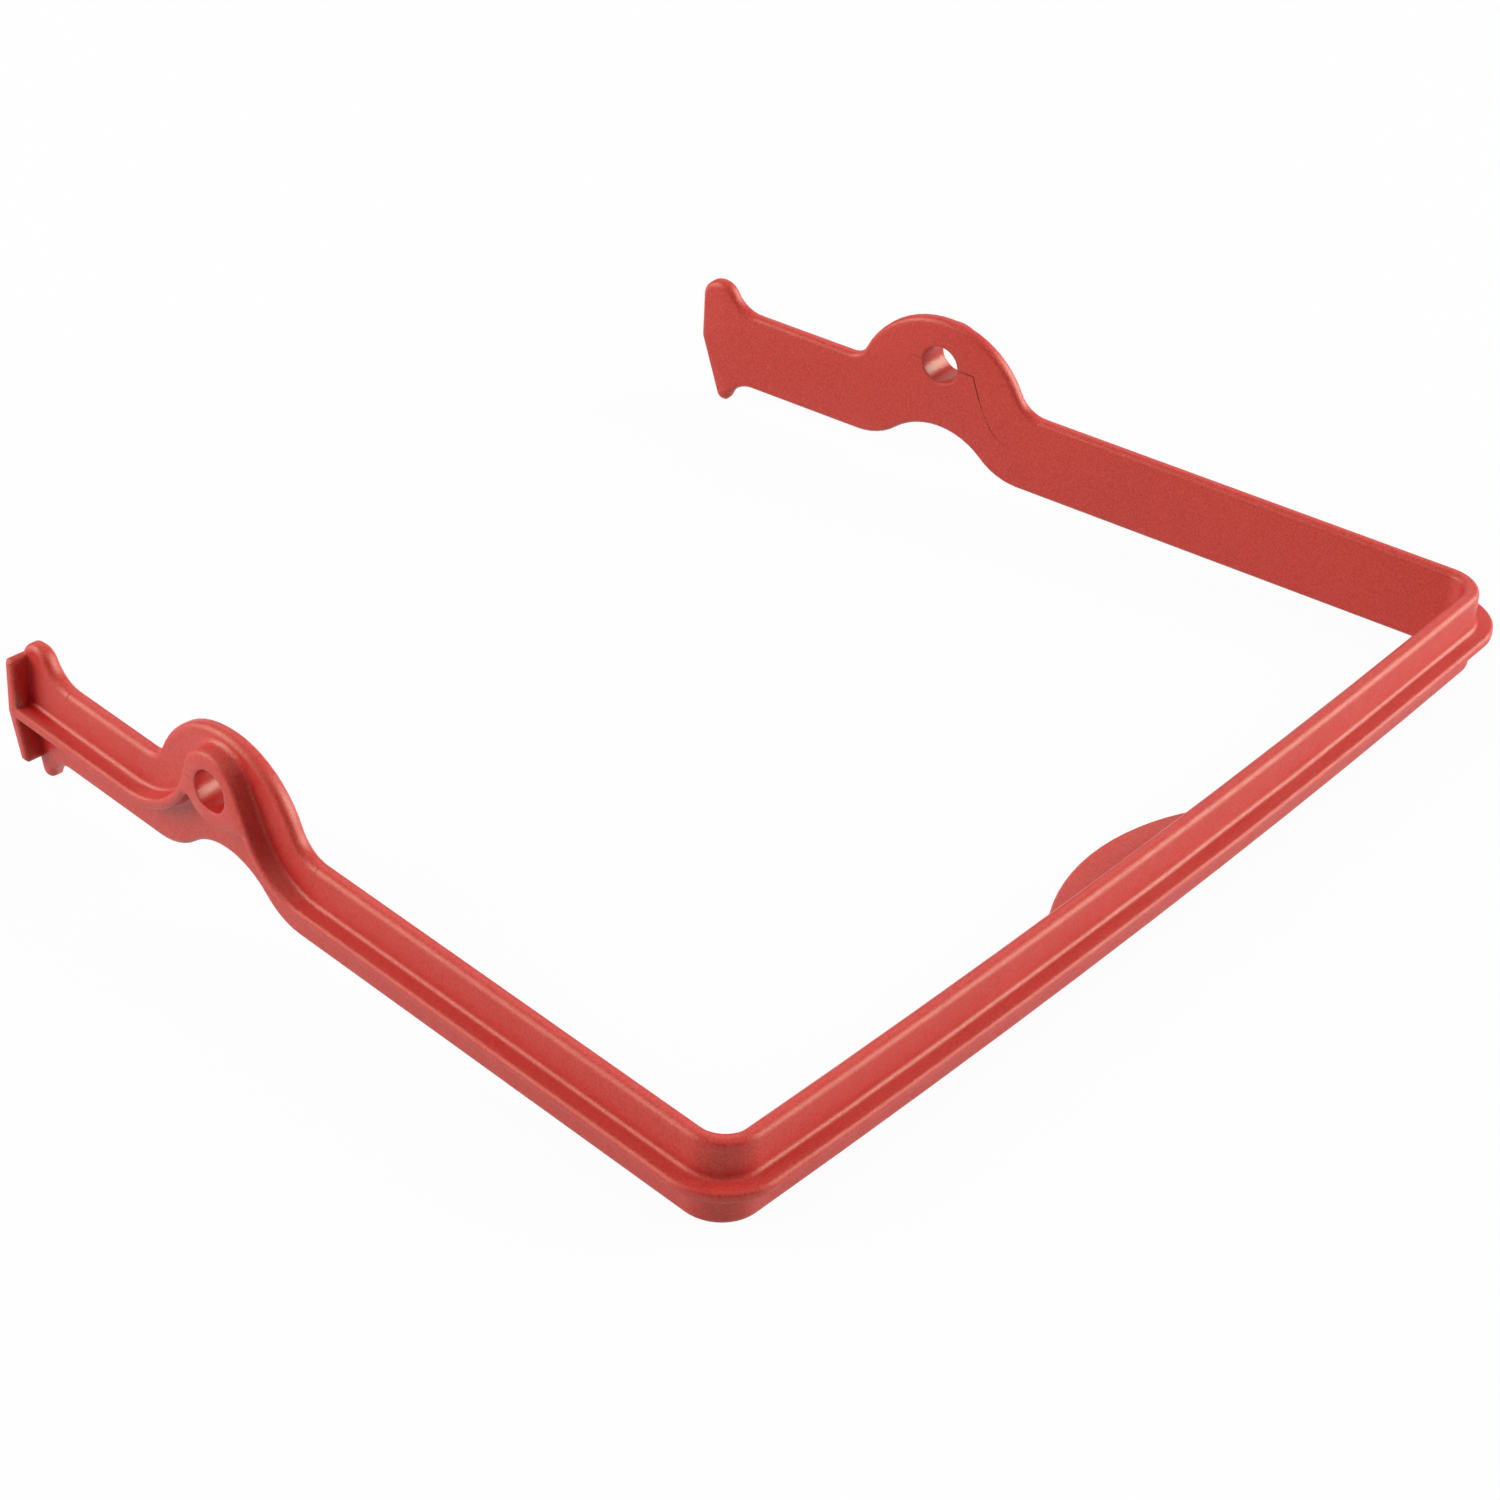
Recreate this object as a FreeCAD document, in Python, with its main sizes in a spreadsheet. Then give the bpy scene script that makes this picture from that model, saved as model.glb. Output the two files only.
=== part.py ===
"""Locking bail: a one-piece moulded U-shaped closing bracket with two cranked, toed-in arms.

Frame: X along the crossbar, Y from the crossbar to the tails, Z up across the band.
The sketches are drawn about the chord of the crossbar at mid-height of the band, which is
the parting plane of the moulding. Side outlines are drawn square to the toed-in arm. One half
is modelled and mirrored, and the finished body is then stood on its own bottom centre.
"""
import FreeCAD, Part
import Sketcher
import math
import os

# Driving sizes in millimetres and degrees: alias, value, what it measures
SIZES = [
    ("arm_spacing", 200.0, "between the arms' mid-planes at the crossbar chord"),
    ("reach", 159.7, "along an arm, from the crossbar chord to the kink in the tail end"),
    ("toe_angle", 5.8, "lean of each arm towards the other, tails together"),
    ("bar_bow", 2.0, "outward bow of the crossbar at its middle"),
    ("band_height", 15.0, "height of the band of crossbar and arms"),
    ("wall", 2.8, "thickness of the band"),
    ("corner_radius", 4.2, "inside radius between crossbar and arm"),
    ("pivot_reach", 107.75, "along an arm, from the crossbar chord to the boss"),
    ("pivot_height", 12.0, "pivot axis above mid-height of the band"),
    ("pivot_bore", 7.2, "diameter of the pivot holes"),
    ("boss_diameter", 13.0, "outside diameter of the boss round a pivot hole"),
    ("dome_radius", 17.5, "radius of the hump over the pivot"),
    ("dome_rise", 13.2, "top of the hump above the band"),
    ("dome_root_bar", 6.0, "hollow radius where the hump leaves the arm"),
    ("dome_root_tail", 4.0, "hollow radius where the hump runs into the tail"),
    ("arch_radius", 13.5, "radius of the arch under the hump"),
    ("arch_rise", 6.6, "top of the arch above the band's lower edge"),
    ("arch_shoulder", 12.0, "rounding where the arch leaves the lower edge"),
    ("rib_height", 1.9, "thickness of the outer rib, centred on mid-height"),
    ("rib_depth", 3.2, "how far rib, bosses and end plates stand off the band"),
    ("rib_bend_bar", 14.1, "upper radius of the rib's bend on the crossbar side"),
    ("rib_bend_tail", 15.2, "upper radius of the rib's bend on the tail side"),
    ("rib_slope", 61.5, "slope at which the rib runs up to the boss"),
    ("horn_rise", 4.8, "top of the tail's upper horn above the band"),
    ("horn_radius", 3.6, "rounding of the upper horn"),
    ("horn_root", 6.0, "hollow radius below the upper horn"),
    ("spur_drop", 4.5, "tip of the tail's lower spur below the band"),
    ("spur_radius", 1.5, "rounding of the lower spur"),
    ("spur_root", 5.0, "hollow radius above the lower spur"),
    ("end_slant", 19.0, "slope of the tail end below mid-height"),
    ("plate_thickness", 2.0, "thickness of the end plate"),
    ("plate_rise", 2.4, "top of the end plate above the band"),
    ("plate_drop", 0.8, "foot of the end plate below the band"),
    ("tab_width", 50.0, "width of the thumb tab where it leaves the crossbar"),
    ("tab_reach", 9.1, "how far the thumb tab stands in from the crossbar"),
    ("tab_thickness", 1.9, "thickness of the thumb tab"),
    ("band_round", 1.0, "rounding of the band's outer edges"),
    ("band_bevel", 0.7, "bevel of the band's inner edges"),
    ("kink_round", 1.0, "rounding across the kink in the tail end"),
    ("rib_bevel", 0.4, "bevel of the rib's outer edges"),
    ("elbow_round", 1.0, "hollow rounding where the rib runs under the boss"),
    ("plate_round", 0.7, "rounding of the end plate's corners"),
    ("root_bevel", 0.7, "sloped fill where the rib meets the band"),
    ("tab_bevel", 0.5, "bevel of the thumb tab's rim"),
    ("margin", 20.0, "how far the trimming sketches run past the moulding"),
]

doc = FreeCAD.newDocument("locking_bail")
sheet = doc.addObject("Spreadsheet::Sheet", "sizes")
for row, (alias, value, meaning) in enumerate(SIZES, start=1):
    sheet.set(f"A{row}", alias)
    sheet.set(f"B{row}", str(value))
    sheet.set(f"C{row}", meaning)
    sheet.setAlias(f"B{row}", alias)
doc.recompute()

bail = doc.addObject("PartDesign::Body", "bail")
rib = doc.addObject("PartDesign::Body", "rib")

# How Sketcher numbers the ends and centre of a segment, its own origin and its upright axis
START, END, CENTRE = range(1, 4)
ORIGIN = (-START, START)
UPRIGHT_AXIS = -END


def size(alias):
    """A driving size, read from the sheet."""
    return float(sheet.get(alias))


def origin_plane(body, role):
    """The body's own origin plane with this role."""
    return next(plane for plane in body.Origin.OriginFeatures if plane.Role == role)


def polar(centre, radius, angle):
    """The point of a circle at an angle in degrees."""
    turn = math.radians(angle)
    return centre[0] + radius * math.cos(turn), centre[1] + radius * math.sin(turn)


def bearing(start, end):
    """The direction from one point to another, in degrees."""
    return math.degrees(math.atan2(end[1] - start[1], end[0] - start[0]))


class Outline:
    """A constrained sketch whose segments are drawn in order as closed runs."""

    def __init__(self, body, name, plane):
        self.sketch = body.newObject("Sketcher::SketchObject", name)
        self.sketch.AttachmentSupport = [(origin_plane(body, plane), "")]
        self.sketch.MapMode = "FlatFace"
        self.run = []

    def lay_on_arm(self):
        """Turn a side sketch into the right-hand arm's mid-plane, its origin on the chord."""
        turn = FreeCAD.Rotation(FreeCAD.Vector(0, 1, 0), size("toe_angle"))
        self.sketch.AttachmentOffset = FreeCAD.Placement(FreeCAD.Vector(0, 0, ARM_FOOT), turn)
        self.sketch.setExpression("AttachmentOffset.Base.z", "sizes.arm_spacing / 2")
        self.sketch.setExpression("AttachmentOffset.Rotation.Angle", "sizes.toe_angle * 1 deg")

    def line(self, start, end):
        """A straight segment of the run."""
        segment = Part.LineSegment(FreeCAD.Vector(*start, 0), FreeCAD.Vector(*end, 0))
        index = self.sketch.addGeometry(segment)
        self.run.append((index, START, END))
        return index

    def arc(self, centre, radius, first, last, clockwise=False):
        """A round segment of the run, from one angle to another in degrees."""
        circle = Part.Circle(FreeCAD.Vector(*centre, 0), FreeCAD.Vector(0, 0, 1), radius)
        sweep = (last, first) if clockwise else (first, last)
        segment = Part.ArcOfCircle(circle, *[math.radians(angle) for angle in sweep])
        index = self.sketch.addGeometry(segment)
        self.run.append((index, END, START) if clockwise else (index, START, END))
        return index

    def close(self, corners):
        """Join the run end to end: smoothly, or as a corner after the segments in corners."""
        for here, after in zip(self.run, self.run[1:] + self.run[:1]):
            kind = "Coincident" if here[0] in corners else "Tangent"
            self.fix(kind, here[0], here[2], after[0], after[1])
        self.run = []

    def fix(self, kind, *where):
        """A constraint without a size."""
        self.sketch.addConstraint(Sketcher.Constraint(kind, *where))

    def level(self, *lines):
        for index in lines:
            self.fix("Horizontal", index)

    def upright(self, *lines):
        for index in lines:
            self.fix("Vertical", index)

    def bind(self, kind, where, rule):
        """A constraint whose size follows the sheet."""
        now = self.sketch.evalExpression(rule)
        value = math.radians(now.Value) if kind == "Angle" else float(now)
        index = self.sketch.addConstraint(Sketcher.Constraint(kind, *where, value))
        name = f"size_{index}"
        self.sketch.renameConstraint(index, name)
        self.sketch.setExpression(f"Constraints.{name}", rule)

    def radius(self, rule, *arcs):
        for index in arcs:
            self.bind("Radius", (index,), rule)

    def across(self, index, point, rule):
        """How far a point lies along the sketch's first axis."""
        self.bind("DistanceX", ORIGIN + (index, point), rule)

    def up(self, index, point, rule):
        """How far a point lies along the sketch's second axis."""
        self.bind("DistanceY", ORIGIN + (index, point), rule)

    def slope(self, index, rule):
        """The direction of a line."""
        self.bind("Angle", (index,), f"({rule}) * 1 deg")


# Places that several sketches share, worked out from the sizes
TOE = math.radians(size("toe_angle"))
ARM_FOOT = size("arm_spacing") / 2
BAR_RADIUS = (ARM_FOOT ** 2 + size("bar_bow") ** 2) / (2 * size("bar_bow"))
BAR_CENTRE = (0.0, BAR_RADIUS - size("bar_bow"))
CORNER = size("corner_radius") + size("wall") / 2
TOP = size("band_height") / 2
FOOT = -TOP
PIVOT = (size("pivot_reach"), size("pivot_height"))
END_KINK = (size("reach"), 0.0)
PAST_BAR = -size("margin")
PAST_TAIL = size("reach") + size("margin")
BAR_RULE = "(sizes.arm_spacing ^ 2 / 4 + sizes.bar_bow ^ 2) / (2 * sizes.bar_bow)"


def corner_centre():
    """Centre of the corner between the bowed crossbar and the right-hand arm, from above."""
    lean = math.tan(TOE)
    base = ARM_FOOT - CORNER / math.cos(TOE)
    middle = base * lean + BAR_CENTRE[1]
    rest = base ** 2 + BAR_CENTRE[1] ** 2 - (BAR_RADIUS - CORNER) ** 2
    height = (middle - math.sqrt(middle ** 2 - (1 + lean ** 2) * rest)) / (1 + lean ** 2)
    return base - height * lean, height


def touching(centre, radius, other_radius, other_height, side):
    """Centre of a circle at a set height that touches a given one from the left or the right."""
    reach = math.sqrt((radius + other_radius) ** 2 - (other_height - centre[1]) ** 2)
    return centre[0] + side * reach, other_height


def plan_outline(body, name, standoff_rule):
    """The right half of all that lies inside a U at a distance from the band's mid-surface."""
    out = Outline(body, name, "XY_Plane")
    standoff = float(sheet.evalExpression(standoff_rule))
    centre = corner_centre()
    toe = math.degrees(TOE)
    turn = bearing(BAR_CENTRE, centre)
    nose = (0.0, BAR_CENTRE[1] - BAR_RADIUS - standoff)
    foot = polar(centre, CORNER + standoff, toe)
    head = (foot[0] - (PAST_TAIL - foot[1]) * math.tan(TOE), PAST_TAIL)
    bar = out.arc(BAR_CENTRE, BAR_RADIUS + standoff, -90, turn)
    corner = out.arc(centre, CORNER + standoff, turn, toe)
    arm = out.line(foot, head)
    mouth = out.line(head, (0.0, PAST_TAIL))
    middle = out.line((0.0, PAST_TAIL), nose)
    out.close(corners=[arm, mouth, middle])
    out.fix("PointOnObject", bar, CENTRE, UPRIGHT_AXIS)
    out.fix("PointOnObject", middle, START, UPRIGHT_AXIS)
    out.fix("PointOnObject", middle, END, UPRIGHT_AXIS)
    out.up(bar, CENTRE, f"{BAR_RULE} - sizes.bar_bow")
    out.radius(f"{BAR_RULE} + {standoff_rule}", bar)
    out.radius(f"sizes.corner_radius + sizes.wall / 2 + {standoff_rule}", corner)
    out.slope(arm, "90 + sizes.toe_angle")
    out.bind("Distance", ORIGIN + (arm,),
             f"sizes.arm_spacing / 2 * cos(sizes.toe_angle * 1 deg) + {standoff_rule}")
    out.level(mouth)
    out.up(mouth, START, "sizes.reach + sizes.margin")
    return out.sketch


def add_frame(out):
    """A box round a side outline, so that a pocket takes what lies between the two."""
    left, right = 2 * PAST_BAR, PAST_TAIL + size("margin")
    low, high = FOOT - 2 * size("margin"), TOP + 2 * size("margin")
    base = out.line((left, low), (right, low))
    tail = out.line((right, low), (right, high))
    lid = out.line((right, high), (left, high))
    back = out.line((left, high), (left, low))
    out.close(corners=[base, tail, lid, back])
    out.level(base, lid)
    out.upright(tail, back)
    out.across(base, START, "-2 * sizes.margin")
    out.across(base, END, "sizes.reach + 2 * sizes.margin")
    out.up(base, START, "-sizes.band_height / 2 - 2 * sizes.margin")
    out.up(lid, START, "sizes.band_height / 2 + 2 * sizes.margin")


def band_outline(body, name):
    """The band from the side: hump and arch at the pivot, fishtail horn and spur at the end."""
    out = Outline(body, name, "YZ_Plane")
    out.lay_on_arm()
    dome_radius, arch_radius = size("dome_radius"), size("arch_radius")
    root_bar, root_tail = size("dome_root_bar"), size("dome_root_tail")
    shoulder, horn_root, spur_root = size("arch_shoulder"), size("horn_root"), size("spur_root")
    horn_radius, spur_radius = size("horn_radius"), size("spur_radius")
    slant = math.radians(size("end_slant"))

    dome = (PIVOT[0], TOP + size("dome_rise") - dome_radius)
    before = touching(dome, dome_radius, root_bar, TOP + root_bar, -1)
    after = touching(dome, dome_radius, root_tail, TOP + root_tail, 1)
    horn = (END_KINK[0] - horn_radius, TOP + size("horn_rise") - horn_radius)
    hollow = touching(horn, horn_radius, horn_root, TOP + horn_root, -1)
    spur_height = FOOT - size("spur_drop") + spur_radius
    down = (spur_radius * math.sin(slant) - spur_height) / math.cos(slant)
    spur = (END_KINK[0] - down * math.sin(slant) - spur_radius * math.cos(slant), spur_height)
    notch = touching(spur, spur_radius, spur_root, FOOT - spur_root, -1)
    arch = (PIVOT[0], FOOT + size("arch_rise") - arch_radius)
    tail_shoulder = touching(arch, arch_radius, shoulder, FOOT + shoulder, 1)
    bar_shoulder = touching(arch, arch_radius, shoulder, FOOT + shoulder, -1)

    arm_top = out.line((PAST_BAR, TOP), (before[0], TOP))
    rise = out.arc(before, root_bar, -90, bearing(before, dome))
    hump = out.arc(dome, dome_radius, bearing(dome, before), bearing(dome, after), clockwise=True)
    fall = out.arc(after, root_tail, 180 + bearing(dome, after), 270)
    tail_top = out.line((after[0], TOP), (hollow[0], TOP))
    horn_rise = out.arc(hollow, horn_root, -90, bearing(hollow, horn))
    horn_tip = out.arc(horn, horn_radius, 180 + bearing(hollow, horn), 0, clockwise=True)
    end_face = out.line((END_KINK[0], horn[1]), END_KINK)
    slant_face = out.line(END_KINK, polar(spur, spur_radius, -size("end_slant")))
    spur_tip = out.arc(spur, spur_radius, -size("end_slant"), bearing(spur, notch), clockwise=True)
    spur_rise = out.arc(notch, spur_root, bearing(notch, spur), 90)
    tail_foot = out.line((notch[0], FOOT), (tail_shoulder[0], FOOT))
    leave = out.arc(tail_shoulder, shoulder, -90, bearing(tail_shoulder, arch), clockwise=True)
    vault = out.arc(arch, arch_radius, bearing(arch, tail_shoulder), bearing(arch, bar_shoulder))
    land = out.arc(bar_shoulder, shoulder, bearing(bar_shoulder, arch), -90, clockwise=True)
    arm_foot = out.line((bar_shoulder[0], FOOT), (PAST_BAR, FOOT))
    past_bar = out.line((PAST_BAR, FOOT), (PAST_BAR, TOP))
    out.close(corners=[end_face, arm_foot, past_bar])

    out.level(arm_top, tail_top, tail_foot, arm_foot)
    out.upright(end_face, past_bar)
    for index in (arm_top, tail_top):
        out.up(index, START, "sizes.band_height / 2")
    for index in (tail_foot, arm_foot):
        out.up(index, START, "-sizes.band_height / 2")
    out.across(past_bar, START, "-sizes.margin")
    out.across(end_face, START, "sizes.reach")
    out.up(end_face, END, "0")
    out.slope(slant_face, "-90 - sizes.end_slant")
    out.radius("sizes.dome_radius", hump)
    out.radius("sizes.dome_root_bar", rise)
    out.radius("sizes.dome_root_tail", fall)
    out.radius("sizes.horn_root", horn_rise)
    out.radius("sizes.horn_radius", horn_tip)
    out.radius("sizes.spur_radius", spur_tip)
    out.radius("sizes.spur_root", spur_rise)
    out.radius("sizes.arch_radius", vault)
    out.radius("sizes.arch_shoulder", leave, land)
    for index in (hump, vault):
        out.across(index, CENTRE, "sizes.pivot_reach")
    out.up(hump, CENTRE, "sizes.band_height / 2 + sizes.dome_rise - sizes.dome_radius")
    out.up(vault, CENTRE, "-sizes.band_height / 2 + sizes.arch_rise - sizes.arch_radius")
    out.up(horn_tip, CENTRE, "sizes.band_height / 2 + sizes.horn_rise - sizes.horn_radius")
    out.up(spur_tip, CENTRE, "-sizes.band_height / 2 - sizes.spur_drop + sizes.spur_radius")
    add_frame(out)
    return out.sketch


def rib_outline():
    """The outer rib from the side, bent up into the pivot boss and down again to the end plate.

    Also gives the hollow corners under the boss and the corners of the end plate.
    """
    out = Outline(rib, "rib_outline", "YZ_Plane")
    out.lay_on_arm()
    half = size("rib_height") / 2
    boss = size("boss_diameter") / 2
    bend_bar, bend_tail = size("rib_bend_bar"), size("rib_bend_tail")
    climb, slant = math.radians(size("rib_slope")), math.radians(size("end_slant"))
    plate = size("plate_thickness")

    meet = polar(PIVOT, boss, 90 + size("rib_slope"))
    leave_height = half + bend_bar * (1 - math.cos(climb))
    leave = (meet[0] - (meet[1] - leave_height) / math.tan(climb), leave_height)
    bar_bend = (leave[0] - bend_bar * math.sin(climb), half + bend_bar)
    tail_bend = touching(PIVOT, boss, bend_tail, half + bend_tail, 1)
    elbow = polar(bar_bend, bend_bar + 2 * half, size("rib_slope") - 90)
    web_turn = bearing(elbow, PIVOT) - math.degrees(math.asin(boss / math.dist(elbow, PIVOT)))
    heel = polar(PIVOT, boss, web_turn - 90)
    apart = bend_tail + boss
    crossing = ((bend_tail + 2 * half) ** 2 - boss ** 2 + apart ** 2) / (2 * apart)
    under_turn = math.degrees(math.acos(crossing / (bend_tail + 2 * half)))
    cusp_turn = math.degrees(math.acos((apart - crossing) / boss))
    cusp = polar(PIVOT, boss, bearing(PIVOT, tail_bend) - cusp_turn)
    flank = END_KINK[0] - plate
    flank_top, flank_foot = TOP + size("plate_rise"), FOOT - size("plate_drop")
    end_at_foot = END_KINK[0] + flank_foot * math.tan(slant)
    horn_lift = size("plate_rise") - size("horn_rise") + size("horn_radius")
    end_at_top = END_KINK[0] - size("horn_radius") + math.sqrt(size("horn_radius") ** 2 - horn_lift ** 2)

    def slanted(height):
        """Where the end plate's slanted inner side lies at a height."""
        drop = plate * math.sin(slant) - height
        return END_KINK[0] - plate * math.cos(slant) - drop * math.tan(slant)

    arm_top = out.line((PAST_BAR, half), (bar_bend[0], half))
    bend_up = out.arc(bar_bend, bend_bar, -90, size("rib_slope") - 90)
    ramp = out.line(leave, meet)
    crown = out.arc(PIVOT, boss, 90 + size("rib_slope"), bearing(PIVOT, tail_bend), clockwise=True)
    bend_down = out.arc(tail_bend, bend_tail, 180 + bearing(PIVOT, tail_bend), 270)
    tail_top = out.line((tail_bend[0], half), (flank, half))
    flank_up = out.line((flank, half), (flank, flank_top))
    plate_top = out.line((flank, flank_top), (PAST_TAIL, flank_top))
    past_tail = out.line((PAST_TAIL, flank_top), (PAST_TAIL, flank_foot))
    plate_foot = out.line((PAST_TAIL, flank_foot), (slanted(flank_foot), flank_foot))
    flank_down = out.line((slanted(flank_foot), flank_foot), (slanted(-half), -half))
    tail_foot = out.line((slanted(-half), -half), (tail_bend[0], -half))
    under_bend = out.arc(tail_bend, bend_tail + 2 * half, 270,
                         180 + bearing(PIVOT, tail_bend) + under_turn, clockwise=True)
    boss_foot = out.arc(PIVOT, boss, bearing(PIVOT, tail_bend) - cusp_turn, web_turn - 90,
                        clockwise=True)
    web = out.line(heel, elbow)
    bend_foot = out.arc(bar_bend, bend_bar + 2 * half, size("rib_slope") - 90, -90, clockwise=True)
    arm_foot = out.line((bar_bend[0], -half), (PAST_BAR, -half))
    past_bar = out.line((PAST_BAR, -half), (PAST_BAR, half))
    out.close(corners=[tail_top, flank_up, plate_top, past_tail, plate_foot, flank_down,
                       under_bend, web, arm_foot, past_bar])

    out.level(arm_top, tail_top, plate_top, plate_foot, tail_foot, arm_foot)
    out.upright(flank_up, past_tail, past_bar)
    for index in (arm_top, tail_top):
        out.up(index, START, "sizes.rib_height / 2")
    for index in (tail_foot, arm_foot):
        out.up(index, START, "-sizes.rib_height / 2")
    out.fix("Coincident", bend_foot, CENTRE, bend_up, CENTRE)
    out.fix("Coincident", under_bend, CENTRE, bend_down, CENTRE)
    out.fix("Coincident", boss_foot, CENTRE, crown, CENTRE)
    out.fix("Equal", boss_foot, crown)
    out.across(crown, CENTRE, "sizes.pivot_reach")
    out.up(crown, CENTRE, "sizes.pivot_height")
    out.radius("sizes.boss_diameter / 2", crown)
    out.radius("sizes.rib_bend_bar", bend_up)
    out.radius("sizes.rib_bend_tail", bend_down)
    out.slope(ramp, "sizes.rib_slope")
    out.up(web, END, "sizes.rib_height / 2 + sizes.rib_bend_bar"
                     " - (sizes.rib_bend_bar + sizes.rib_height) * cos(sizes.rib_slope * 1 deg)")
    out.across(flank_up, START, "sizes.reach - sizes.plate_thickness")
    out.up(plate_top, START, "sizes.band_height / 2 + sizes.plate_rise")
    out.up(plate_foot, START, "-sizes.band_height / 2 - sizes.plate_drop")
    out.across(past_tail, START, "sizes.reach + sizes.margin")
    out.across(past_bar, START, "-sizes.margin")
    out.slope(flank_down, "90 - sizes.end_slant")
    out.across(flank_down, END, "sizes.reach - sizes.plate_thickness * cos(sizes.end_slant * 1 deg)"
                                " - (sizes.plate_thickness * sin(sizes.end_slant * 1 deg)"
                                " + sizes.rib_height / 2) * tan(sizes.end_slant * 1 deg)")
    add_frame(out)
    plate_corners = [(flank, flank_top), (end_at_top, flank_top),
                     (slanted(flank_foot), flank_foot), (end_at_foot, flank_foot)]
    return out.sketch, [elbow, cusp], plate_corners


def pivot_outline():
    """The pivot hole, square to the crossbar and centred half-way through band and boss."""
    out = Outline(bail, "pivot_outline", "YZ_Plane")
    centre = (PIVOT[0] * math.cos(TOE) + size("rib_depth") / 2 * math.sin(TOE), PIVOT[1])
    circle = Part.Circle(FreeCAD.Vector(*centre, 0), FreeCAD.Vector(0, 0, 1), size("pivot_bore") / 2)
    bore = out.sketch.addGeometry(circle)
    out.across(bore, CENTRE, "sizes.pivot_reach * cos(sizes.toe_angle * 1 deg)"
                             " + sizes.rib_depth / 2 * sin(sizes.toe_angle * 1 deg)")
    out.up(bore, CENTRE, "sizes.pivot_height")
    out.radius("sizes.pivot_bore / 2", bore)
    return out.sketch


def tab_outline():
    """The thumb tab from above: a shallow arc on a root that runs into the crossbar's wall."""
    out = Outline(bail, "tab_outline", "XY_Plane")
    half, reach = size("tab_width") / 2, size("tab_reach")
    radius = (half ** 2 + reach ** 2) / (2 * reach)
    root = -size("bar_bow")
    face = root + size("wall") / 2
    centre = (0.0, face + reach - radius)
    base = out.line((-half, root), (half, root))
    right = out.line((half, root), (half, face))
    rim = out.arc(centre, radius, bearing(centre, (half, face)), bearing(centre, (-half, face)))
    left = out.line((-half, face), (-half, root))
    out.close(corners=[base, right, rim, left])
    out.level(base)
    out.upright(right, left)
    out.fix("PointOnObject", rim, CENTRE, UPRIGHT_AXIS)
    out.radius("(sizes.tab_width ^ 2 / 4 + sizes.tab_reach ^ 2) / (2 * sizes.tab_reach)", rim)
    out.across(base, START, "-sizes.tab_width / 2")
    out.across(base, END, "sizes.tab_width / 2")
    out.up(base, START, "-sizes.bar_bow")
    out.up(rim, START, "sizes.wall / 2 - sizes.bar_bow")
    return out.sketch


def extrude(body, kind, name, sketch, length_rule):
    """A pad or pocket of a sketch, as far to one side of its plane as to the other."""
    feature = body.newObject(f"PartDesign::{kind}", name)
    feature.Profile = sketch
    feature.SideType = "Symmetric"
    feature.Type = "Length"
    feature.setExpression("Length", length_rule)
    doc.recompute()


def samples(edge, count=5):
    """Points spread along an edge."""
    first, last = edge.ParameterRange
    return [edge.valueAt(first + (last - first) * (step + 0.5) / count) for step in range(count)]


def standoff(point):
    """How far a point lies outside the band's mid-surface."""
    place = (abs(point.x), point.y)
    corner = corner_centre()
    turn = bearing(corner, place)
    if bearing(BAR_CENTRE, corner) <= turn <= math.degrees(TOE):
        return math.dist(corner, place) - CORNER
    if turn > math.degrees(TOE) and place[1] > corner[1]:
        return (place[0] - ARM_FOOT) * math.cos(TOE) + place[1] * math.sin(TOE)
    return math.dist(BAR_CENTRE, place) - BAR_RADIUS


def lies_at(edge, distance):
    """Whether the whole edge runs at this distance from the band's mid-surface."""
    return all(abs(standoff(point) - distance) < NEAR for point in samples(edge))


def borders_side(shape, edge):
    """Whether one of the edge's faces was drawn in a side outline, so that it runs across the arm."""
    for face in shape.ancestorsOfType(edge, Part.Face):
        low, high, near, far = face.ParameterRange
        spots = [(low + (high - low) * across, near + (far - near) * along)
                 for across in (0.2, 0.8) for along in (0.2, 0.8)]
        if all(abs(face.normalAt(*spot).dot(ACROSS_ARM)) < NEAR for spot in spots):
            return True
    return False


def side_place(point):
    """Where a point lies in the side outlines."""
    return (ARM_FOOT - point.x) * math.sin(TOE) + point.y * math.cos(TOE), point.z


def runs_through(edge, places):
    """Whether an edge runs across the arm through one of these places of a side outline."""
    start, end = side_place(edge.firstVertex().Point), side_place(edge.lastVertex().Point)
    return math.dist(start, end) < NEAR and any(math.dist(start, place) < NEAR for place in places)


def is_tab_rim(shape, edge):
    """Whether an edge goes round the free rim of the thumb tab."""
    level = size("tab_thickness") / 2
    return all(abs(abs(point.z) - level) < NEAR and standoff(point) < -HALF_WALL
               for point in samples(edge)) and not lies_at(edge, -HALF_WALL)


def dress_edges(body, kind, name, rule, wanted):
    """A fillet or chamfer on the edges of the body so far that pass the test."""
    base = body.Tip
    picked = [f"Edge{index}" for index, edge in enumerate(base.Shape.Edges, start=1)
              if wanted(base.Shape, edge)]
    feature = body.newObject(f"PartDesign::{kind}", name)
    feature.Base = (base, picked)
    feature.setExpression({"Fillet": "Radius", "Chamfer": "Size"}[kind], rule)
    doc.recompute()


NEAR = 1e-3
ACROSS_ARM = FreeCAD.Vector(math.cos(TOE), math.sin(TOE), 0)
HALF_WALL = size("wall") / 2
RIB_FACE = HALF_WALL + size("rib_depth")
TALL = "sizes.band_height + 2 * sizes.margin"
WIDE = "sizes.arm_spacing + 4 * sizes.margin"

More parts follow.
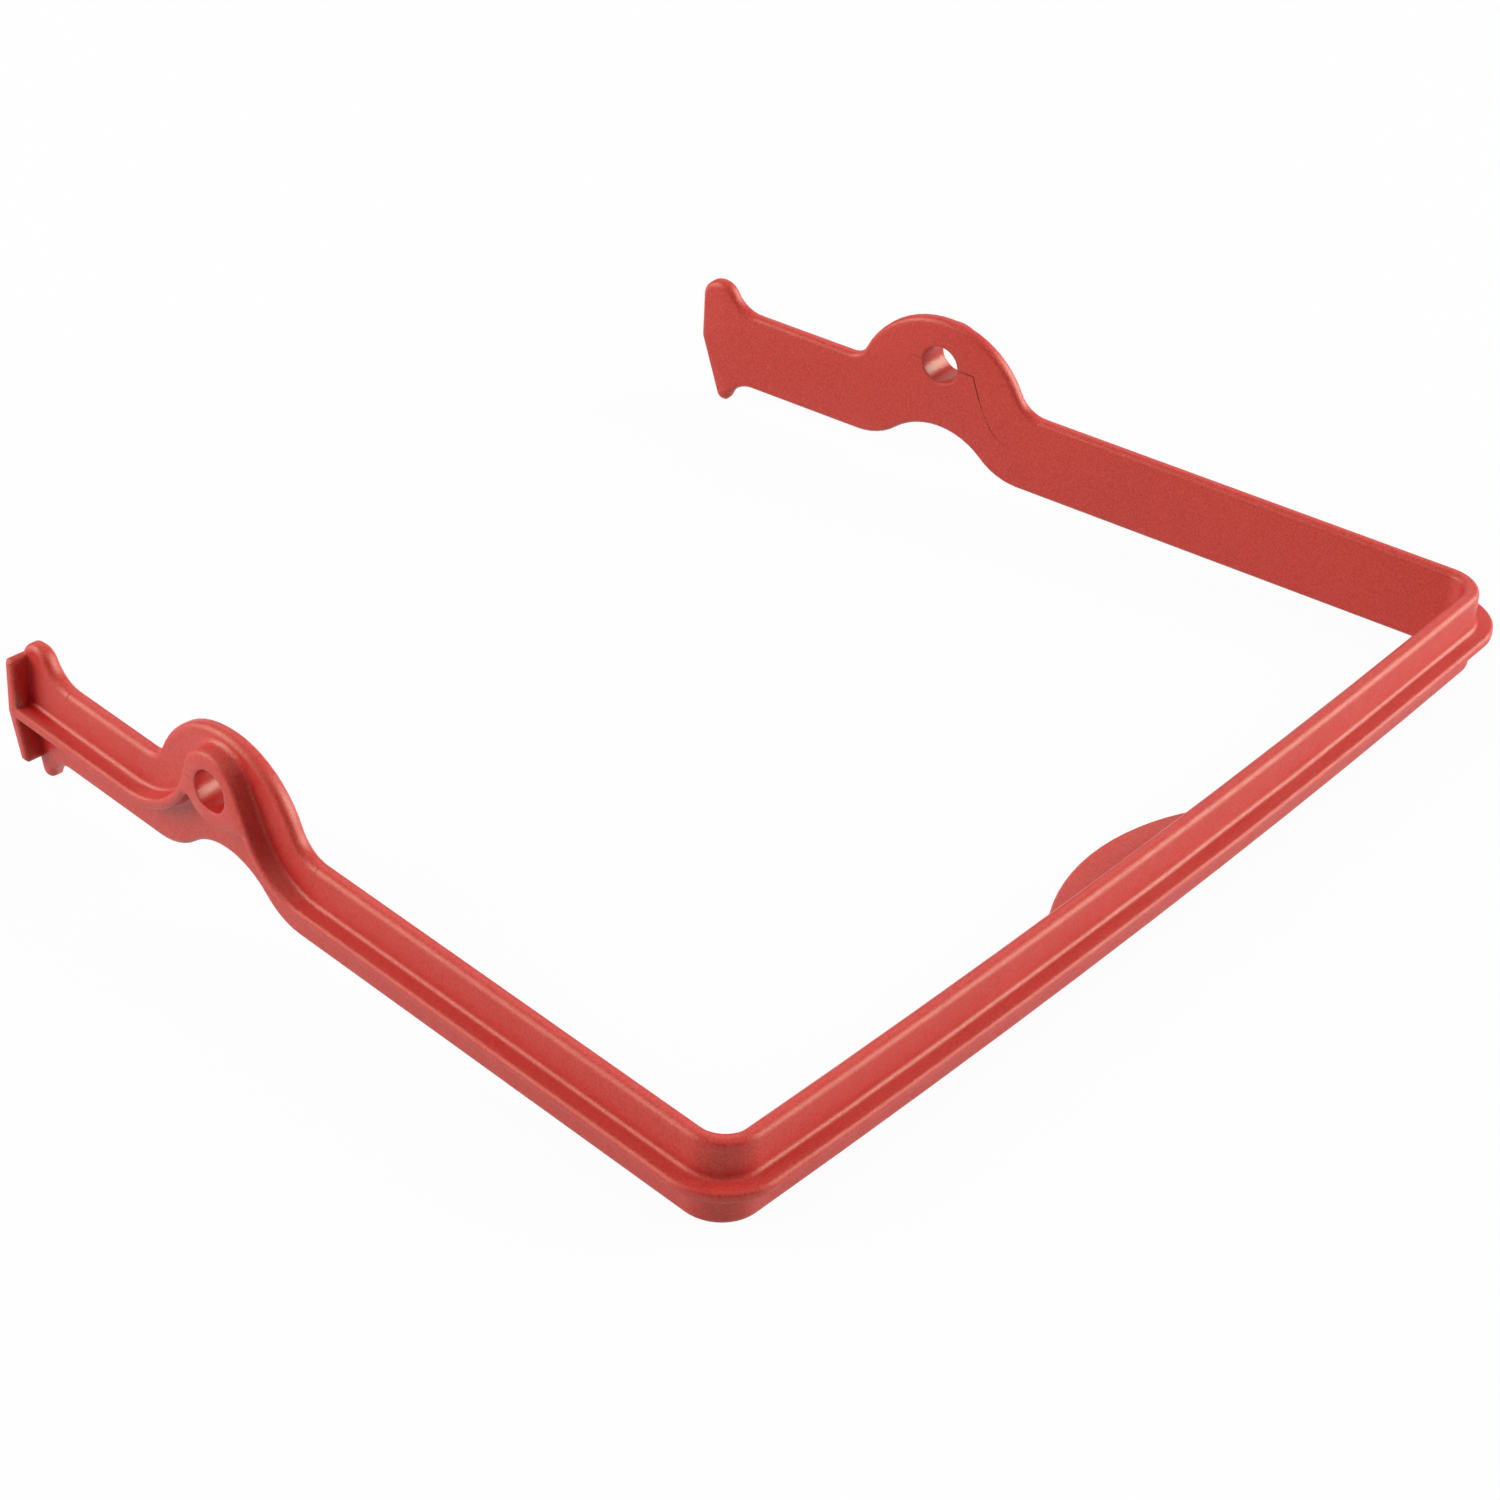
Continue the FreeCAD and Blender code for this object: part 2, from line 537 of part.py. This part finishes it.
# The rib, its bosses and its end plates, rooted half a wall deep in the band
outline, under_boss, plate_corners = rib_outline()
extrude(rib, "Pad", "rib_block", plan_outline(rib, "rib_plan", "sizes.wall / 2 + sizes.rib_depth"), TALL)
extrude(rib, "Pocket", "rib_trim", outline, WIDE)
extrude(rib, "Pocket", "rib_ends", band_outline(rib, "rib_limits"), WIDE)
extrude(rib, "Pocket", "rib_hollow", plan_outline(rib, "rib_root", "0 * sizes.wall"), TALL)
dress_edges(rib, "Fillet", "rib_kinks", "sizes.kink_round",
            lambda shape, edge: runs_through(edge, [END_KINK]))
dress_edges(rib, "Fillet", "rib_elbows", "sizes.elbow_round",
            lambda shape, edge: runs_through(edge, under_boss))
dress_edges(rib, "Fillet", "plate_corners", "sizes.plate_round",
            lambda shape, edge: runs_through(edge, plate_corners))
dress_edges(rib, "Chamfer", "rib_edges", "sizes.rib_bevel",
            lambda shape, edge: lies_at(edge, RIB_FACE) and borders_side(shape, edge))

# The band, rounded along its outer edges and bevelled along its inner ones
extrude(bail, "Pad", "band_block", plan_outline(bail, "band_plan", "sizes.wall / 2"), TALL)
extrude(bail, "Pocket", "band_trim", band_outline(bail, "band_outline"), WIDE)
extrude(bail, "Pocket", "hollow", plan_outline(bail, "hollow_plan", "-sizes.wall / 2"), TALL)
dress_edges(bail, "Fillet", "end_kinks", "sizes.kink_round",
            lambda shape, edge: runs_through(edge, [END_KINK]))
dress_edges(bail, "Fillet", "outer_edges", "sizes.band_round",
            lambda shape, edge: lies_at(edge, HALF_WALL) and borders_side(shape, edge))
dress_edges(bail, "Chamfer", "inner_edges", "sizes.band_bevel",
            lambda shape, edge: lies_at(edge, -HALF_WALL) and borders_side(shape, edge))

# One moulding: rib and band together, both halves, bored through for the pivots
moulding = bail.newObject("PartDesign::Boolean", "moulding")
moulding.Type = "Fuse"
moulding.addObject(rib)
doc.recompute()
dress_edges(bail, "Chamfer", "rib_roots", "sizes.root_bevel",
            lambda shape, edge: lies_at(edge, HALF_WALL) and borders_side(shape, edge)
            and edge.CenterOfMass.y < PIVOT[0] / 2)
halves = bail.newObject("PartDesign::Mirrored", "halves")
halves.TransformMode = "Whole shape"
halves.MirrorPlane = (origin_plane(bail, "YZ_Plane"), [""])
bail.Tip = halves
doc.recompute()
extrude(bail, "Pocket", "pivot_bores", pivot_outline(), WIDE)
extrude(bail, "Pad", "thumb_tab", tab_outline(), "sizes.tab_thickness")
dress_edges(bail, "Chamfer", "tab_rim", "sizes.tab_bevel", is_tab_rim)

# Stood on its bottom centre, between the bow of the rib and the end plates' bevelled outer edges
NOSE_RULE = "(sizes.bar_bow + sizes.wall / 2 + sizes.rib_depth)"
END_RULE = ("(sizes.reach * cos(sizes.toe_angle * 1 deg)"
            " + (sizes.wall / 2 + sizes.rib_depth - sizes.rib_bevel) * sin(sizes.toe_angle * 1 deg))")
bail.setExpression("Placement.Base.y", f"({NOSE_RULE} - {END_RULE}) / 2")
bail.setExpression("Placement.Base.z", "sizes.band_height / 2 + sizes.spur_drop")
doc.recompute()

for item in doc.Objects:
    if "Invalid" in item.State or "Error" in item.State:
        raise RuntimeError(f"{item.Name} did not build")
    if hasattr(item, "Shape") and (item.Shape.isNull() or not item.Shape.isValid()):
        raise RuntimeError(f"{item.Name} has no sound shape")
if len(bail.Shape.Solids) != 1:
    raise RuntimeError("the moulding is not one solid")

os.makedirs("parts", exist_ok=True)
bail.Shape.exportStep("parts/bail.step")
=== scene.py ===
import math

import bmesh
import bpy
from mathutils import Matrix, Vector


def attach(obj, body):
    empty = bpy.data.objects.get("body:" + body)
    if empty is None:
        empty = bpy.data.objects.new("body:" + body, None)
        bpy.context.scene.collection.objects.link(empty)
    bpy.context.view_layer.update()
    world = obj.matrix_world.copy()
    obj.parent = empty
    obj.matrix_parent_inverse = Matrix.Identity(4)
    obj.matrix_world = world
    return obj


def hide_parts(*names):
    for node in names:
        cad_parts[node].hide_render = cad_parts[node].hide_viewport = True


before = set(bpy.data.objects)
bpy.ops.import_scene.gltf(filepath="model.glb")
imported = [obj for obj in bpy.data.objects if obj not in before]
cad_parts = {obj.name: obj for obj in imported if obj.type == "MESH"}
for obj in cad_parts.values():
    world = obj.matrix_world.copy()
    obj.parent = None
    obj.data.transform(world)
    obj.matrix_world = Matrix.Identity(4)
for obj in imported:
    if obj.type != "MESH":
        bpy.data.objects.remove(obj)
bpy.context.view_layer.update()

MM = 0.001
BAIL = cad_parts["bail"]

# The moulding's own measures in the row frame, in millimetres: the arms' lean, where their
# mid-planes meet the crossbar's chord, mid-height, half the wall, the rib's outer face from
# mid-wall, and the band's top above mid-height with the rounding of its outer edge
TOE = math.radians(5.8)
ARM_FOOT = 100.0
CHORD_Y = -76.353
MID_Z = 12.0
HALF_WALL = 1.4
RIB_FACE = HALF_WALL + 3.2
BAND_TOP, BAND_ROUND = 7.5, 1.0
# What it rests on: the crossbar's lower edge, and the tips of both spurs at height 0
BAR_FOOT_Y, BAR_FOOT_Z = -78.0, 4.5
SPUR_Y = 78.4


def put(name, data):
    """A new object of this data, linked into the scene."""
    piece = bpy.data.objects.new(name, data)
    bpy.context.scene.collection.objects.link(piece)
    return piece


# Materials

# How far a place looks about for the plastic that shelters it, and how open it is where it is wholly a
# hollow with painted shade and where it no longer is
HOLLOW_REACH = 9.0 * MM
HOLLOW_FULL, HOLLOW_NONE = 0.25, 0.85
HOLLOW_ROUGHNESS = 0.28
# Roughness of the sleekest and dullest patches in the open
SLEEK, DULL = 0.35, 0.48
# How much paler rubs are than the mottle, and how far they show
RUB_LIFT, RUB_SHOW = 1.15, 0.35
# How open an edge is where its softening is least and where it is whole, and the least share
EDGE_CORNER, EDGE_OPEN = 0.45, 0.95
EDGE_LEAST = 0.1


def shader_nodes(name):
    """A fresh material with its shader and a way to add and join nodes."""
    material = bpy.data.materials.new(name)
    material.use_nodes = True
    tree = material.node_tree
    shader = tree.nodes["Principled BSDF"]

    def add(kind, links=None, **settings):
        node = tree.nodes.new(kind)
        for key, value in settings.items():
            if key in node.inputs:
                node.inputs[key].default_value = value
            else:
                setattr(node, key, value)
        for socket, source in (links or {}).items():
            tree.links.new(source, node.inputs[socket])
        return node

    return material, tree, shader, add


def noise(add, place, **settings):
    """A noise pattern over the given coordinates."""
    return add("ShaderNodeTexNoise", {"Vector": place}, **settings).outputs["Fac"]


def ramp(add, source, stops):
    """A colour ramp between (place, colour) stops."""
    node = add("ShaderNodeValToRGB", {"Fac": source})
    elements = node.color_ramp.elements
    while len(elements) < len(stops):
        elements.new(0.5)
    for element, (place, colour) in zip(elements, stops):
        element.position = place
        element.color = (*colour, 1.0)
    return node.outputs["Color"]


def mix(add, share, under, over):
    """A plain colour laid over another by a varying share."""
    node = add("ShaderNodeMixRGB", {"Fac": share, "Color1": under}, Color2=(*over, 1.0))
    return node.outputs["Color"]


def grey(value):
    """The colour with this value in each channel."""
    return (value, value, value)


def red_plastic(name, base, deep, pale, hollow_shade, edge_radius):
    """Satin moulded plastic: drifting tone, mottle, faint rubs, painted shade and sleeker gloss in
    hollows, soft edges.
    """
    material, tree, shader, add = shader_nodes(name)
    place = add("ShaderNodeTexCoord").outputs["Object"]
    shelter = add("ShaderNodeAmbientOcclusion", samples=8, only_local=True, Distance=HOLLOW_REACH)
    openness = shelter.outputs["AO"]
    shaded_hollows = ramp(add, openness, [(HOLLOW_FULL, grey(1.0)), (HOLLOW_NONE, grey(0.0))])

    drift = noise(add, place, Scale=55.0, Detail=4.0, Roughness=0.55)
    tone = ramp(add, drift, [(0.30, deep), (0.62, base)])
    grain = noise(add, place, Scale=2600.0, Detail=2.0, Roughness=0.6)
    mottle = ramp(add, grain, [(0.36, grey(0.0)), (0.64, grey(1.0))])
    mottled = mix(add, mottle, tone, pale)
    stretched = add("ShaderNodeMapping", {"Vector": place}, Scale=(38.0, 38.0, 900.0),
                    Rotation=(0.05, 0.03, 0.0))
    streaks = noise(add, stretched.outputs["Vector"], Scale=1.0, Detail=3.0, Roughness=0.65)
    rubs = ramp(add, streaks, [(0.62, grey(0.0)), (0.80, grey(RUB_SHOW))])
    rubbed = mix(add, rubs, mottled, [channel * RUB_LIFT for channel in pale])
    # Painted shade: sheltered hollows are coloured a deeper, darker red by how closed in they are
    tree.links.new(mix(add, shaded_hollows, rubbed, hollow_shade), shader.inputs["Base Color"])

    patches = noise(add, place, Scale=420.0, Detail=4.0, Roughness=0.6)
    rough = ramp(add, patches, [(0.25, grey(SLEEK)), (0.75, grey(DULL))])
    tree.links.new(mix(add, shaded_hollows, rough, grey(HOLLOW_ROUGHNESS)), shader.inputs["Roughness"])

    radius = add("ShaderNodeMapRange", {"Value": openness},
                 **{"From Min": EDGE_CORNER, "From Max": EDGE_OPEN,
                    "To Min": EDGE_LEAST * edge_radius, "To Max": edge_radius})
    edges = add("ShaderNodeBevel", {"Radius": radius.outputs["Result"]}, samples=4)
    waves = noise(add, place, Scale=180.0, Detail=2.0, Roughness=0.5)
    soft = add("ShaderNodeBump", {"Height": waves, "Normal": edges.outputs["Normal"]},
               Strength=0.04, Distance=0.4 * MM)
    fine = add("ShaderNodeBump", {"Height": grain, "Normal": soft.outputs["Normal"]},
               Strength=0.30, Distance=0.12 * MM)
    tree.links.new(fine.outputs["Normal"], shader.inputs["Normal"])

    shader.inputs["IOR"].default_value = 1.53
    shader.inputs["Specular IOR Level"].default_value = 0.57
    shader.inputs["Specular Tint"].default_value = (1.0, 0.93, 0.68, 1.0)
    return material


BODY_RED = red_plastic("red_plastic", base=(0.455, 0.013, 0.010), deep=(0.410, 0.010, 0.008),
                       pale=(0.510, 0.034, 0.030), hollow_shade=(0.400, 0.001, 0.004),
                       edge_radius=1.0 * MM)
# Painted shade: the seams' plastic is much darker than the body's, standing in for the shade along
# their fine ridges
SEAM_SHADE_RED = red_plastic("seam_shade_red", base=(0.170, 0.007, 0.006), deep=(0.150, 0.006, 0.005),
                       pale=(0.200, 0.010, 0.009), hollow_shade=(0.150, 0.003, 0.004),
                       edge_radius=0.02 * MM)


# The moulding's skin: the CAD faces joined up, so that bevels and rounds shade as one surface

WELD = 1e-7
SHARP = math.radians(62)


def make_skin():
    """The CAD node's faces, welded and shaded smooth across all but the sharp edges."""
    shape = bmesh.new()
    shape.from_mesh(BAIL.data)
    bmesh.ops.remove_doubles(shape, verts=shape.verts, dist=WELD)
    for face in shape.faces:
        face.smooth = True
    for edge in shape.edges:
        edge.smooth = edge.is_manifold and edge.calc_face_angle() < SHARP
    mesh = bpy.data.meshes.new("bail_skin")
    shape.to_mesh(mesh)
    shape.free()
    skin = put("bail_skin", mesh)
    mesh.materials.append(BODY_RED)
    weighted = skin.modifiers.new("face_weights", "WEIGHTED_NORMAL")
    weighted.keep_sharp = True
    weighted.weight = 80
    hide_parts("bail")
    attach(skin, "root")


make_skin()


# Mould parting lines and witness marks: fine ridges, coloured a darker red as painted shade

# (along the arm, above mid-height, width) of the lines that the mould left beside the pivot
INNER_BAR_SIDE = [(104.2, 12.0, 0.16), (101.1, 12.0, 0.20), (99.8, 8.4, 0.20), (98.4, 5.4, 0.06),
                  (96.6, 2.5, 0.13), (95.2, 1.2, 0.08), (92.0, 0.2, 0.03)]
INNER_TAIL_SIDE = [(111.3, 12.0, 0.16), (114.1, 12.2, 0.18), (114.9, 11.2, 0.03)]
BOSS_BAR_SIDE = [(104.2, 12.0, 0.08), (101.9, 12.0, 0.06)]
BOSS_TAIL_SIDE = [(111.4, 12.0, 0.10), (113.7, 12.0, 0.07)]
PIVOT_LINES = [("bar", INNER_BAR_SIDE, -HALF_WALL), ("tail", INNER_TAIL_SIDE, -HALF_WALL),
               ("boss_bar", BOSS_BAR_SIDE, RIB_FACE), ("boss_tail", BOSS_TAIL_SIDE, RIB_FACE)]
# Along the arm, where the straight top gives way to the hump and to the horn, and how far
# round the band's outer edge the lines there run
TOP_BREAKS = [("hump", 86.6), ("horn", 147.8)]
TOP_TURNS = [math.radians(angle) for angle in range(0, 90, 10)]
TOP_WIDTH = 0.10
# Along the arm, the kink in the tail end, and (out from mid-wall, width) of its line
END_REACH = 159.4
END_RUN = [(-HALF_WALL + 0.7, 0.16), (RIB_FACE - 0.5, 0.30)]


def arm_point(side, along, height, standoff):
    """A place by an arm: along it from the crossbar's chord, above mid-height, out from mid-wall."""
    across = ARM_FOOT - along * math.sin(TOE) + standoff * math.cos(TOE)
    return Vector((side * across, CHORD_Y + along * math.cos(TOE) + standoff * math.sin(TOE),
                   MID_Z + height)) * MM


def seam(name, points, widths):
    """A fine raised line along points of the row frame, with its width at each in millimetres."""
    curve = bpy.data.curves.new(name, "CURVE")
    curve.dimensions = "3D"
    curve.bevel_depth = MM / 2
    curve.bevel_resolution = 2
    curve.use_fill_caps = True
    spline = curve.splines.new("POLY")
    spline.points.add(len(points) - 1)
    for target, point, width in zip(spline.points, points, widths):
        target.co = (*point, 1.0)
        target.radius = width
    piece = put(name, curve)
    curve.materials.append(SEAM_SHADE_RED)
    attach(piece, "root")


for side, word in ((1, "right"), (-1, "left")):
    for part, run, standoff in PIVOT_LINES:
        seam(f"parting_line_{part}_{word}",
             [arm_point(side, along, height, standoff) for along, height, width in run],
             [width for along, height, width in run])
    for part, along in TOP_BREAKS:
        seam(f"witness_line_{part}_{word}",
             [arm_point(side, along, BAND_TOP - BAND_ROUND * (1 - math.sin(turn)),
                        HALF_WALL - BAND_ROUND * (1 - math.cos(turn))) for turn in TOP_TURNS],
             [TOP_WIDTH] * len(TOP_TURNS))
    seam(f"parting_line_end_{word}",
         [arm_point(side, END_REACH, 0.0, standoff) for standoff, width in END_RUN],
         [width for standoff, width in END_RUN])


# Floor, light and camera

# Half the floor's side in metres, its own tone and drift, and its share of plain white in view
FLOOR_HALF = 3.0
FLOOR_TONE, FLOOR_DRIFT = 0.6, 0.02
FLOOR_WHITE = 0.96
# Strength of the light from all round
AMBIENT = 0.28
# Softboxes: name, place, width and height in metres, power in watts
SOFTBOXES = [
    ("left", (-0.68, 0.86, 0.52), 1.1, 0.9, 17.0),
    ("right", (0.95, -0.81, 0.51), 1.1, 0.9, 25.0),
    ("back", (0.95, 0.74, 0.80), 1.2, 1.2, 4.2),
    ("top", (-0.15, -0.10, 1.20), 1.2, 1.2, 3.0),
]


def make_floor():
    """A pale sheet that the crossbar's lower edge and both spurs rest on."""
    tilt = -BAR_FOOT_Z / (SPUR_Y - BAR_FOOT_Y)
    height = -tilt * SPUR_Y * MM
    corners = [(x * FLOOR_HALF, y * FLOOR_HALF, height + tilt * y * FLOOR_HALF)
               for x, y in ((-1, -1), (1, -1), (1, 1), (-1, 1))]
    mesh = bpy.data.meshes.new("floor")
    mesh.from_pydata(corners, [], [(0, 1, 2, 3)])
    floor = put("floor", mesh)
    material, tree, shader, add = shader_nodes("floor_white")
    place = add("ShaderNodeTexCoord").outputs["Object"]
    cloud = noise(add, place, Scale=3.0, Detail=2.0)
    tone = ramp(add, cloud, [(0.3, grey(FLOOR_TONE - FLOOR_DRIFT)),
                             (0.7, grey(FLOOR_TONE + FLOOR_DRIFT))])
    tree.links.new(tone, shader.inputs["Base Color"])
    shader.inputs["Roughness"].default_value = 0.9
    shader.inputs["Specular IOR Level"].default_value = 0.1
    path = add("ShaderNodeLightPath")
    seen = path.outputs["Is Camera Ray"]
    for kind in ("Is Glossy Ray", "Is Transmission Ray"):
        seen = add("ShaderNodeMath", {0: seen, 1: path.outputs[kind]}, operation="MAXIMUM").outputs[0]
    share = add("ShaderNodeMath", {0: seen}, operation="MULTIPLY")
    share.inputs[1].default_value = FLOOR_WHITE
    white = add("ShaderNodeEmission", Strength=1.0)
    blend = add("ShaderNodeMixShader", {0: share.outputs[0], 1: shader.outputs[0], 2: white.outputs[0]})
    tree.links.new(blend.outputs[0], tree.nodes["Material Output"].inputs["Surface"])
    mesh.materials.append(material)


def make_world():
    """An even, low light from all round, where the camera itself sees white."""
    world = bpy.data.worlds.new("studio")
    world.use_nodes = True
    tree = world.node_tree
    back = tree.nodes["Background"]
    back.inputs["Color"].default_value = (1.0, 1.0, 1.0, 1.0)
    path = tree.nodes.new("ShaderNodeLightPath")
    strength = tree.nodes.new("ShaderNodeMapRange")
    strength.inputs["To Min"].default_value = AMBIENT
    tree.links.new(path.outputs["Is Camera Ray"], strength.inputs["Value"])
    tree.links.new(strength.outputs["Result"], back.inputs["Strength"])
    bpy.context.scene.world = world


def softbox(name, place, width, height, power):
    """A soft rectangular lamp aimed at the middle of the object."""
    light = bpy.data.lights.new(name, "AREA")
    light.shape = "RECTANGLE"
    light.size, light.size_y = width, height
    light.energy = power
    lamp = put(name, light)
    lamp.location = place
    lamp.rotation_euler = (-Vector(place)).to_track_quat("-Z", "Y").to_euler()


def make_camera():
    """The photograph's camera: viewing angles in degrees, distances in millimetres."""
    azimuth, elevation, roll = (math.radians(angle) for angle in (52.05, 34.86, 3.14))
    distance, aim = 656.09, Vector((-15.31, -10.873, 12.0))
    focal_pixels, image_pixels, sensor = 4100.0, 1500.0, 36.0
    forward = Vector((math.sin(azimuth) * math.cos(elevation), math.cos(azimuth) * math.cos(elevation),
                      -math.sin(elevation)))
    right = forward.cross(Vector((0.0, 0.0, 1.0))).normalized()
    up = right.cross(forward)
    turned_right = math.cos(roll) * right + math.sin(roll) * up
    turned_up = -math.sin(roll) * right + math.cos(roll) * up
    lens = bpy.data.cameras.new("camera")
    lens.sensor_width = sensor
    lens.lens = focal_pixels / image_pixels * sensor
    lens.clip_start, lens.clip_end = 0.01, 50.0
    camera = put("camera", lens)
    axes = Matrix((turned_right, turned_up, -forward)).transposed().to_4x4()
    camera.matrix_world = Matrix.Translation((aim - distance * forward) * MM) @ axes
    bpy.context.scene.camera = camera


make_floor()
make_world()
for box in SOFTBOXES:
    softbox(*box)
make_camera()
bpy.context.scene.view_settings.view_transform = "Standard"
